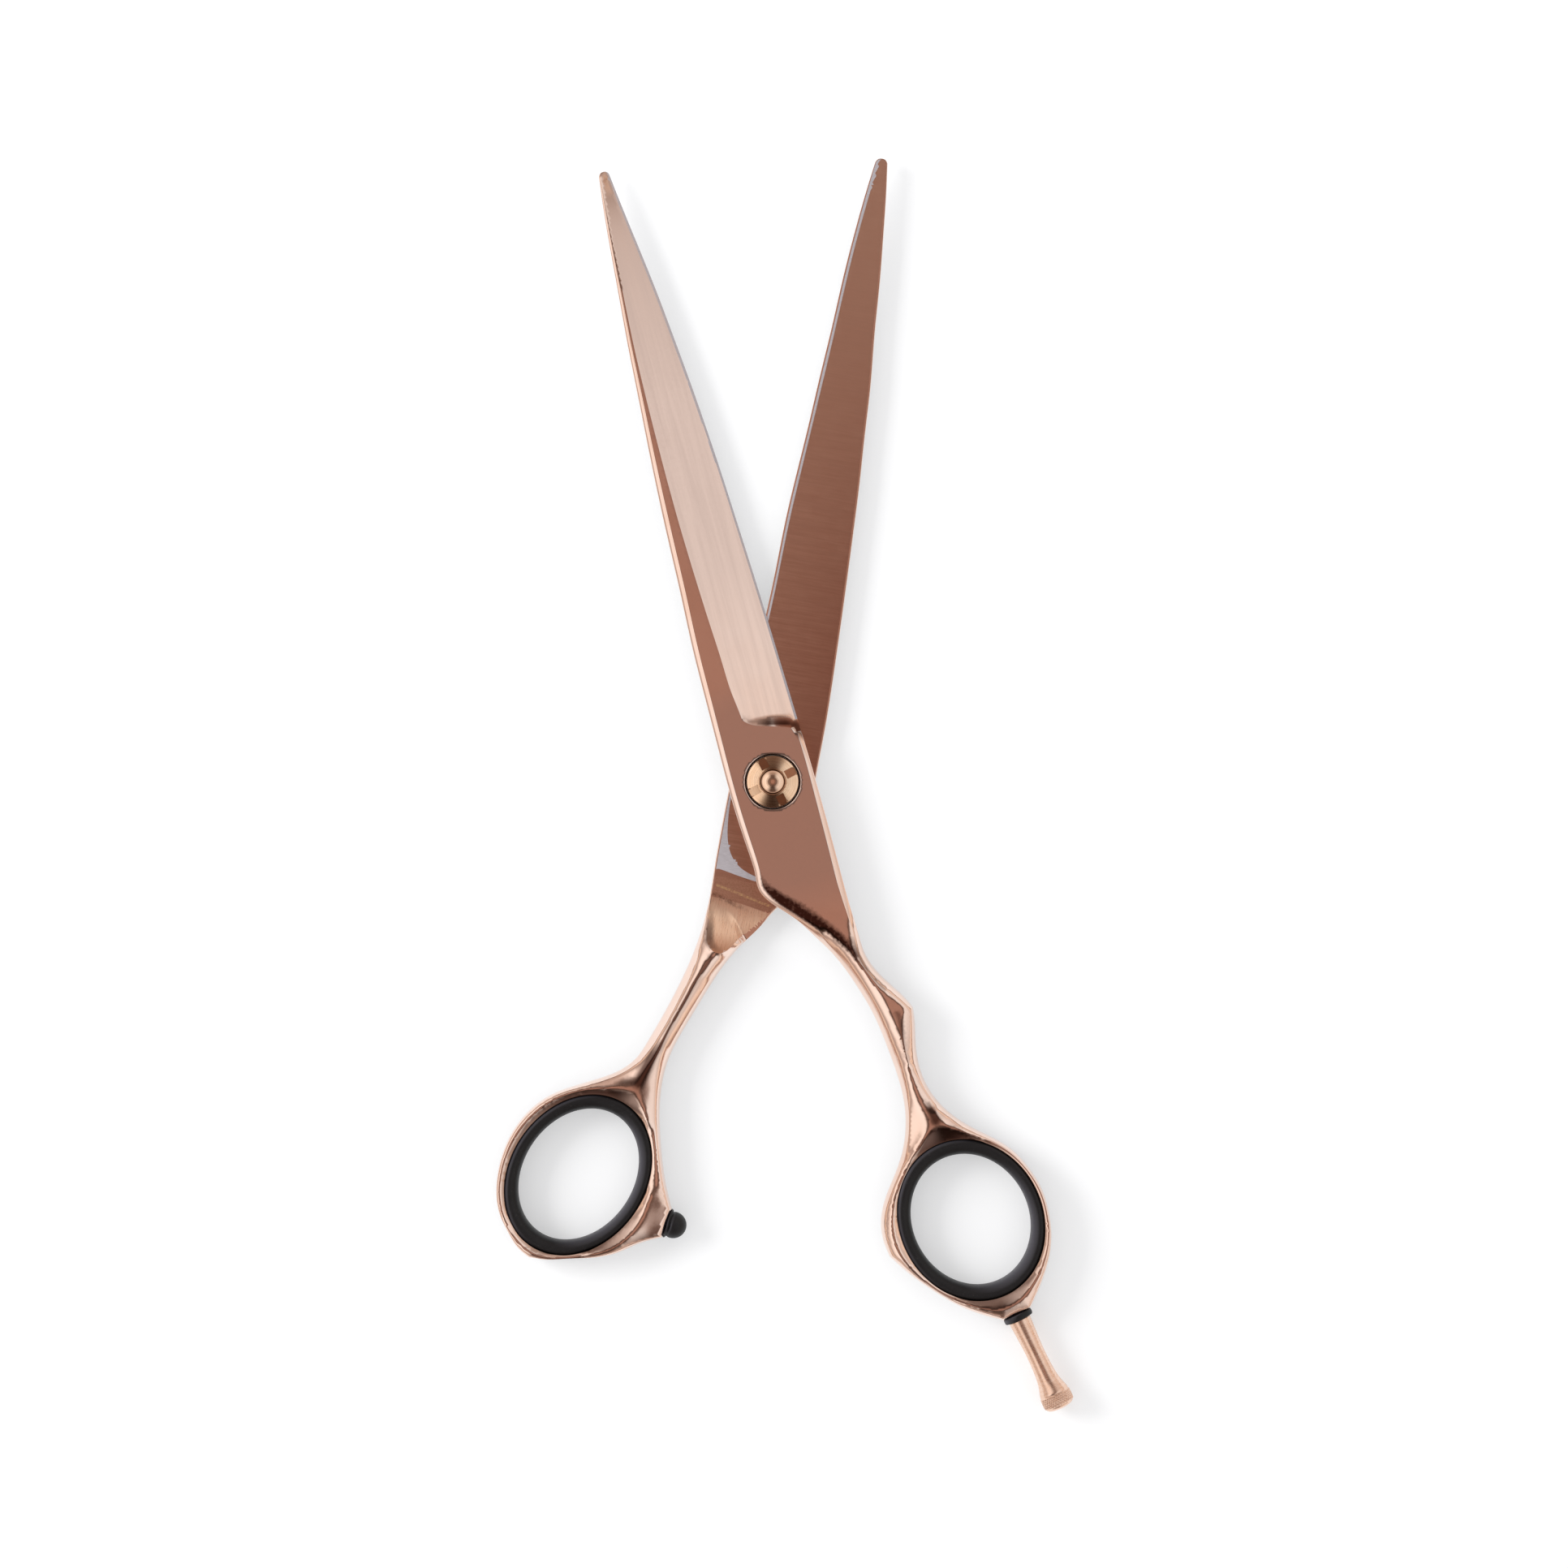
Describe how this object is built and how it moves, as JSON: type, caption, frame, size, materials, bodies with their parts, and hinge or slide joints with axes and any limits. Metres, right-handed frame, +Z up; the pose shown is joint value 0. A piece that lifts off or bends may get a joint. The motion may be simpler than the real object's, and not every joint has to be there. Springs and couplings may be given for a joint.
{
  "type": "hair cutting shears",
  "caption": "Long-bladed hair cutting shears with offset oval rings, rubber ring inserts, a tension nut at the pivot, a rubber bumper and a screw-in finger rest.",
  "frame": {"origin": "on the pivot axis, in the plane of the pivot stud's flat head, which is the plane the shears rest on", "axes": "+Z up through the tension nut, +Y from the rings towards the blade tips, +X towards the ring that carries the finger rest"},
  "size_m": [0.0906, 0.1967, 0.0074],
  "materials": {
    "plated_steel": "rose gold plated steel, polished outside, fine ground inside",
    "plated_rest": "rose gold plated steel, polished, knurled end",
    "pivot_hardware": "turned and plated, light gold",
    "spring_steel": "plain spring steel",
    "nylon": "natural nylon",
    "black_rubber": "moulded, matte"
  },
  "bodies": {
    "finger_half": {"finger_blade": "plated_steel", "pivot_bushing": "pivot_hardware", "friction_washer": "nylon", "spring_washer": "spring_steel", "finger_ring_insert": "black_rubber"},
    "thumb_half": {"thumb_blade": "plated_steel", "pivot_stud": "pivot_hardware", "thumb_ring_insert": "black_rubber", "bumper": "black_rubber"},
    "tension_nut_body": {"tension_nut": "pivot_hardware", "nut_lock_ring": "nylon"},
    "rest_washer_body": {"finger_rest_washer": "black_rubber"},
    "finger_rest_body": {"finger_rest": "plated_rest"}
  },
  "joints": [
    {"name": "blade_pivot", "type": "hinge", "parent": "finger_half", "child": "thumb_half", "pos_m": [0, 0, 0.0033], "axis": [0, 0, 1], "range_deg": [-100, 24.5]},
    {"name": "tension_nut_turn", "type": "hinge", "parent": "thumb_half", "child": "tension_nut_body", "pos_m": [0, 0, 0.006], "axis": [0, 0, 1], "range_deg": [-90, 90]},
    {"name": "finger_rest_advance", "type": "slide", "parent": "finger_half", "child": "rest_washer_body", "axis": [0.4271, -0.9042, 0], "range_m": [0, 0.0009]},
    {"name": "finger_rest_turn", "type": "hinge", "parent": "rest_washer_body", "child": "finger_rest_body", "pos_m": [0.03832, -0.08349, 0.0033], "axis": [0.4271, -0.9042, 0], "range_deg": [0, 720.1]}
  ],
  "couplings": [
    {"joint": "finger_rest_turn", "follows": "finger_rest_advance", "rad_per_m": 13963}
  ]
}
